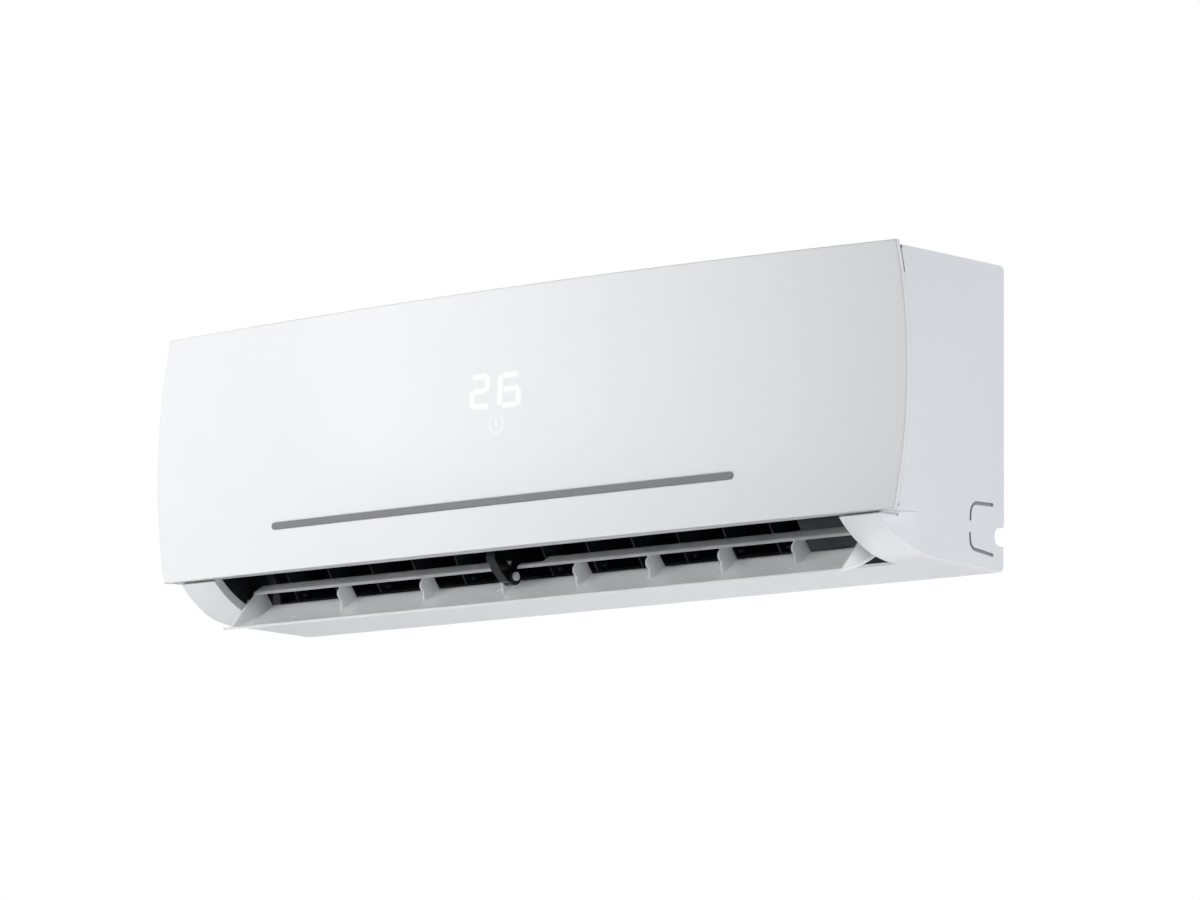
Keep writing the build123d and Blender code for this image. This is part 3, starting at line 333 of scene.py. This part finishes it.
# Where the duct is painted pale in place of light falling on it, in millimetres: from one value of
# X or Z to another it turns pale.
PAINTED_LIGHT_WALL_X = (273.6, 275.2)
PAINTED_LIGHT_FLOOR_X, PAINTED_LIGHT_FLOOR_Z = (286.4, 286.8), (-128, -130)


def duct_dark_with_painted_light():
    """Dark grey plastic with painted light: the plain wall at the duct's right end is painted paler
    and its floor near white, in place of light that reaches them.
    """
    finish = Finish("duct_dark", Specular_IOR_Level=0.35)
    place = finish.add("SeparateXYZ", {0: finish.place}).outputs
    wall, right, low = (
        finish.threshold(place[axis], start * MM, end * MM)
        for axis, (start, end) in (("X", PAINTED_LIGHT_WALL_X), ("X", PAINTED_LIGHT_FLOOR_X), ("Z", PAINTED_LIGHT_FLOOR_Z))
    )
    # Painted light: where these masks are 1, the duct is painted paler in place of light falling on
    # it.
    floor = finish.maths("MULTIPLY", low, right)
    cloud = finish.noise(40 * MM, detail=3)
    dark = finish.mix(cloud, srgb(26, 27, 29), srgb(33, 34, 36))
    # Painted light: the paler grey of the plain wall, and on the next line the near white of the
    # floor.
    pale = finish.mix(cloud, srgb(70, 73, 78), srgb(84, 87, 93))
    finish.set_colour(finish.mix(floor, finish.mix(wall, dark, pale), srgb(232, 234, 238)))
    finish.rough(0.34, 0.46, cloud)
    finish.bump(finish.noise(0.9 * MM, detail=3), 0.02 * MM)
    return finish.material


# The side wall's outer face: its X at the rear edge at one height, how much X grows per metre
# forwards and upwards, and how much faster it grows upwards with each metre forwards.
FACE_X, FACE_Z = 413.3 * MM, -109 * MM
FLARE, LEAN, TWIST = 0.0912, 0.022, 1.2
SCORE_SHADE_START, SCORE_SHADE_END = 0.6 * MM, 1.0 * MM  # the depth below that face where the painted shade sets in
KNOCK_OUTS = {"Y": (-62, -16), "Z": (-140, -88)}  # the block that the score lines lie in
KNOCK_OUT_EDGE = 1  # how softly the block ends, in millimetres like the block


def case_white_with_painted_shade():
    """White moulded plastic, with painted shade in the score lines of the knock-outs: grey where it
    lies deeper than the side wall's outer face.
    """
    finish = Finish("case_white")
    place = finish.add("SeparateXYZ", {0: finish.place}).outputs
    above = finish.maths("SUBTRACT", place["Z"], FACE_Z)
    lean = finish.maths("SUBTRACT", LEAN, finish.maths("MULTIPLY", place["Y"], TWIST))
    face = finish.maths("SUBTRACT", FACE_X, finish.maths("MULTIPLY", place["Y"], FLARE))
    face = finish.maths("ADD", face, finish.maths("MULTIPLY", lean, above))
    depth = finish.maths("SUBTRACT", face, finish.maths("ABSOLUTE", place["X"]))
    # Painted shade: a mask of the score grooves, which stand in shade, within the knock-outs'
    # block.
    painted_score_shade = finish.threshold(depth, SCORE_SHADE_START, SCORE_SHADE_END)
    for axis, (low, high) in KNOCK_OUTS.items():
        for start, end in ((low, low + KNOCK_OUT_EDGE), (high, high - KNOCK_OUT_EDGE)):
            within = finish.threshold(place[axis], start * MM, end * MM)
            painted_score_shade = finish.maths("MULTIPLY", painted_score_shade, within)
    cloud = finish.noise(60 * MM, detail=3)
    plain = finish.mix(cloud, srgb(235, 236, 238), srgb(237, 238, 240))
    # Painted shade: the grey stands in for the shade inside the score grooves.
    finish.set_colour(finish.mix(painted_score_shade, plain, srgb(150, 153, 157)))
    finish.rough(0.38, 0.46, finish.noise(9 * MM, detail=4))
    finish.soft_edges(0.8 * MM)
    finish.bump(finish.noise(0.9 * MM, detail=3), 0.03 * MM)
    return finish.material


PANEL_ROUGHNESS, PANEL_COAT = 0.34, {"Coat_Weight": 0.25, "Coat_Roughness": 0.12}
TRANSLUCENT = {
    "Subsurface_Weight": 1.0,
    "Subsurface_Scale": 8 * MM,
    "Subsurface_Radius": (1.0, 1.0, 1.0),
}


def make_materials():
    """Every finish, by the name of its material slot."""
    return {
        "case_white": case_white_with_painted_shade(),
        "panel_white": moulded(
            "panel_white", (238, 238, 239), PANEL_ROUGHNESS, 0.006 * MM, 2.0 * MM, **PANEL_COAT
        ),
        "strip_grey": trim_metal(),
        "louver_white": moulded(
            "louver_white", (250, 252, 255), 0.26, edge=0.6 * MM, **TRANSLUCENT
        ),
        "pin_white": moulded("pin_white", (248, 248, 247), 0.35, edge=0.5 * MM),
        "duct_dark": duct_dark_with_painted_light(),
        "vane_dark": moulded("vane_dark", (44, 45, 48), 0.42, edge=0.4 * MM, mottle=0.05),
        "hook_black": moulded("hook_black", (16, 16, 18), 0.22, edge=0.6 * MM, mottle=0.05),
        "chassis_grey": moulded("chassis_grey", (40, 41, 43), 0.5, edge=0, mottle=0.05),
        "fan_dark": moulded("fan_dark", (26, 27, 29), 0.4, edge=0, mottle=0.08),
        "galvanised": galvanised(),
        "box_metal": galvanised(),
        "zinc_screw": metal("zinc_screw", (178, 180, 182), 0.32),
        "fin_aluminium": fin_sheet(),
        "copper": metal("copper", (201, 128, 92), 0.3, scratch=(8, 1, 1), mottle=0.1),
        "brass": metal("brass", (196, 164, 96), 0.28),
        "motor_steel": metal("motor_steel", (150, 152, 155), 0.38, scratch=(12, 1, 1)),
        "rubber_black": moulded("rubber_black", (28, 28, 29), 0.75, 0.05 * MM, edge=0.5 * MM),
        "filter_grey": filter_net(),
        "board_green": circuit_board(),
        "can_silver": metal("can_silver", (186, 188, 192), 0.25),
        "relay_black": moulded("relay_black", (32, 33, 36), 0.45, edge=0.5 * MM),
        "terminal_cream": moulded("terminal_cream", (214, 208, 190), 0.45, edge=0.4 * MM),
        "display_black": moulded("display_black", (34, 34, 36), 0.5, edge=0.5 * MM),
    }


def paint_nodes(materials):
    """Gives each CAD node the finish of its material slot."""
    for part in frame["record"]["subparts"]:
        finish = materials[part["material_slot"]]
        for slot in nodes[part["node"]].material_slots:
            slot.material = finish


# ---- Pieces -------------------------------------------------------------------------------------
def new_piece(name, points, faces, material, body):
    """A piece of its own that rides on a body."""
    mesh = bpy.data.meshes.new(name)
    mesh.from_pydata(points, [], faces)
    mesh.validate()
    mesh.update()
    mesh.materials.append(material)
    piece = bpy.data.objects.new(name, mesh)
    bpy.context.scene.collection.objects.link(piece)
    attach(piece, body)
    return piece


RAY_ROOM = 0.05  # a ray that looks for the panel's face starts this far in front of the panel


class PanelFace:
    """The front panel's outer surface."""

    def __init__(self):
        mesh = nodes["front_panel"].data
        points = [v.co.copy() for v in mesh.vertices]
        self.tree = BVHTree.FromPolygons(points, [tuple(p.vertices) for p in mesh.polygons])
        self.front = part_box("front_panel")[0].y - RAY_ROOM

    def at(self, x, z, proud):
        """The point of the face at X and Z, raised by a small height."""
        hit = self.tree.ray_cast(Vector((x, self.front, z)), Vector((0, 1, 0)))[0]
        return (x, hit.y - proud, z)


# The display's strokes on the panel: from and to, as (X, Z), and half the stroke's width.
DIGIT_STROKES = {
    "digit_two_top": ((-37.6, 48.0), (-24.8, 47.8), 1.9),
    "digit_two_right": ((-22.4, 45.2), (-22.4, 37.6), 2.5),
    "digit_two_middle": ((-37.0, 34.8), (-25.9, 34.8), 1.9),
    "digit_two_left": ((-40.9, 32.4), (-40.7, 23.8), 2.3),
    "digit_two_bottom": ((-37.9, 21.2), (-23.6, 20.9), 1.9),
    "digit_six_top": ((-2.0, 46.8), (11.4, 46.8), 1.9),
    "digit_six_upper_left": ((-6.7, 44.2), (-6.6, 36.6), 2.5),
    "digit_six_lower_left": ((-7.2, 32.6), (-7.1, 23.2), 2.3),
    "digit_six_middle": ((-0.8, 34.1), (12.6, 34.2), 1.9),
    "digit_six_right": ((14.8, 30.4), (14.9, 21.0), 2.3),
    "digit_six_bottom": ((-2.4, 19.5), (10.6, 19.5), 1.9),
}
POWER_RING_CENTRE, POWER_RING_RADIUS, POWER_STROKE = (-10.9, 3.4), 8.2, 0.75
POWER_RING_START, POWER_RING_TURN, POWER_RING_STEPS = 125, 290, 48  # degrees, and its pieces
POWER_BAR = ((-11.5, 8.2), (-10.7, 1.4))

# A stroke is made of outlines, from its core to the end of its halo: their share of half its
# width, how far each stands proud of the panel, and how much of the light shows there.
DIGIT_SHARES, DIGIT_HALO, DIGIT_GLOW = (0.45, 0.85, 1.2), 2.2, (1.0, 0.92, 0.35, 0.0)
BAR_SHARES, RING_SHARES = (0.45, 0.9, 1.5, 2.6), (0.0, 0.9, 1.5, 2.6)
POWER_GLOW = (1.0, 0.9, 0.3, 0.0)
PROUD = (0.12, 0.11, 0.09, 0.05)
DIGIT_STRENGTH, POWER_STRENGTH, GLOW_COLOUR = 0.16, 0.075, (0.9, 0.95, 1.0)


def capsule(start, end, half, steps=8):
    """The outline of a stroke with round ends, as (X, Z) points."""
    along = (Vector(end) - Vector(start)).normalized()
    across = Vector((-along.y, along.x))
    points = []
    for centre, turn in ((Vector(end), 0), (Vector(start), pi)):
        for n in range(steps + 1):
            angle = pi / 2 - pi * n / steps + turn
            points.append(centre + (along * cos(angle) + across * sin(angle)) * half)
    return points


def glow_piece(name, rings, closed, glow, face, finish):
    """A thin plate on the panel's face, made of rings of points from its core outwards."""
    count = len(rings[0])
    points = []
    for ring, height in zip(rings, PROUD):
        points += [face.at(x * MM, z * MM, height * MM) for x, z in ring]
    faces = [tuple(range(count))] if closed else []
    steps = count if closed else count - 1
    for n in range(len(rings) - 1):
        low, high = n * count, (n + 1) * count
        for i in range(steps):
            j = (i + 1) % count
            faces.append((low + i, low + j, high + j, high + i))
    piece = new_piece(name, points, faces, finish, "panel")
    shares = [value for value in glow for _ in range(count)]
    piece.data.attributes.new("glow", "FLOAT", "POINT").data.foreach_set("value", shares)
    return piece


def lit_panel(name, strength):
    """The panel's own finish, lit from behind where the attribute says so."""
    finish = Finish(name, PANEL_ROUGHNESS, **PANEL_COAT)
    finish.colour(srgb(236, 236, 237), srgb(240, 240, 241), finish.noise(60 * MM, detail=3))
    glow = finish.add("Attribute", attribute_name="glow").outputs["Fac"]
    finish.shader.inputs["Emission Color"].default_value = (*GLOW_COLOUR, 1)
    power = finish.maths("MULTIPLY", glow, strength)
    finish.tree.links.new(power, finish.shader.inputs["Emission Strength"])
    return finish.material


def make_display():
    """The digits and the power sign that shine through the panel."""
    face = PanelFace()
    bright = lit_panel("digit_light", DIGIT_STRENGTH)
    faint = lit_panel("power_light", POWER_STRENGTH)
    for name, (start, end, half) in DIGIT_STROKES.items():
        rings = [capsule(start, end, half * share) for share in DIGIT_SHARES]
        rings.append(capsule(start, end, half + DIGIT_HALO))
        glow_piece(name, rings, True, DIGIT_GLOW, face, bright)
    rings = [capsule(*POWER_BAR, POWER_STROKE * share) for share in BAR_SHARES]
    glow_piece("power_bar", rings, True, POWER_GLOW, face, faint)
    shares_of_turn = [n / POWER_RING_STEPS for n in range(POWER_RING_STEPS + 1)]
    angles = [radians(POWER_RING_START + POWER_RING_TURN * share) for share in shares_of_turn]
    x, z = POWER_RING_CENTRE
    for side, name in ((1, "power_ring_outer"), (-1, "power_ring_inner")):
        rings = []
        for share in RING_SHARES:
            radius = POWER_RING_RADIUS + side * POWER_STROKE * share
            rings.append([(x + radius * cos(a), z + radius * sin(a)) for a in angles][::side])
        glow_piece(name, rings, False, POWER_GLOW, face, faint)


# The coil's slabs in (Y, Z), walked from the front over the fan, and the sheets that fill them.
COIL_SLABS = (
    ((-146.0, -60.5), (-146.0, 30.0)),
    ((-150.0, 38.0), (-92.0, 95.0)),
    ((-77.5, 91.0), (-24.0, 38.0)),
)
COIL_THICKNESS, COIL_LEFT, COIL_RIGHT = 22.0, -350.0, 262.0
SHEET_PITCH, SHEET_THICKNESS = 1.4, 0.16


def make_fin_sheets(finish):
    """The thin fins of the coil, one by one, in place of the solid packs."""
    points, faces = [], []
    # A sheet is a box of eight corners, four on its left side and four on its right side.
    sheet_faces = [(0, 1, 2, 3), (7, 6, 5, 4)]
    sheet_faces += [(i, i + 4, (i + 1) % 4 + 4, (i + 1) % 4) for i in range(4)]
    for slab in COIL_SLABS:
        low, high = (Vector(end) for end in slab)
        along = high - low
        out = Vector((-along.y, along.x)).normalized() * COIL_THICKNESS / 2
        corners = (low - out, high - out, high + out, low + out)
        for n in range(int((COIL_RIGHT - COIL_LEFT) / SHEET_PITCH)):
            x = COIL_LEFT + SHEET_PITCH * (n + 0.5)
            first = len(points)
            for dx in (-SHEET_THICKNESS / 2, SHEET_THICKNESS / 2):
                points += [((x + dx) * MM, c.x * MM, c.y * MM) for c in corners]
            faces += [tuple(first + i for i in face) for face in sheet_faces]
    sheets = new_piece("fin_sheets", points, faces, finish, "unit")
    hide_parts("evaporator_fins")


make_camera()
make_world()
make_floor()
# Each lamp's name, place, target, width and height, watts, and its colour if it isn't white.
make_lamp("key", (-0.8, -1.3, 0.05), (-0.2, -0.17, 0.0), (0.8, 0.6), 7.9, mirrored=False)
make_lamp("high_key", (-0.75, -1.25, 0.5), (-0.15, -0.17, 0.0), (0.9, 0.6), 5.9)
make_lamp("side_fill", (2.3, -0.2, 0.2), (0.44, -0.1, 0.0), (1.0, 1.0), 22.5, (0.93, 0.97, 1.0))
make_lamp("low_front", (0.3, -1.6, -0.75), (0.1, -0.15, -0.12), (1.2, 0.5), 2.6)
make_lamp("floor_wash", (0.05, 0.3, -0.45), (0.05, 0.3, -0.95), (1.5, 0.9), 14.0)
finishes = make_materials()
paint_nodes(finishes)
make_display()
make_fin_sheets(finishes["fin_aluminium"])

bpy.context.scene.view_settings.view_transform = "Standard"
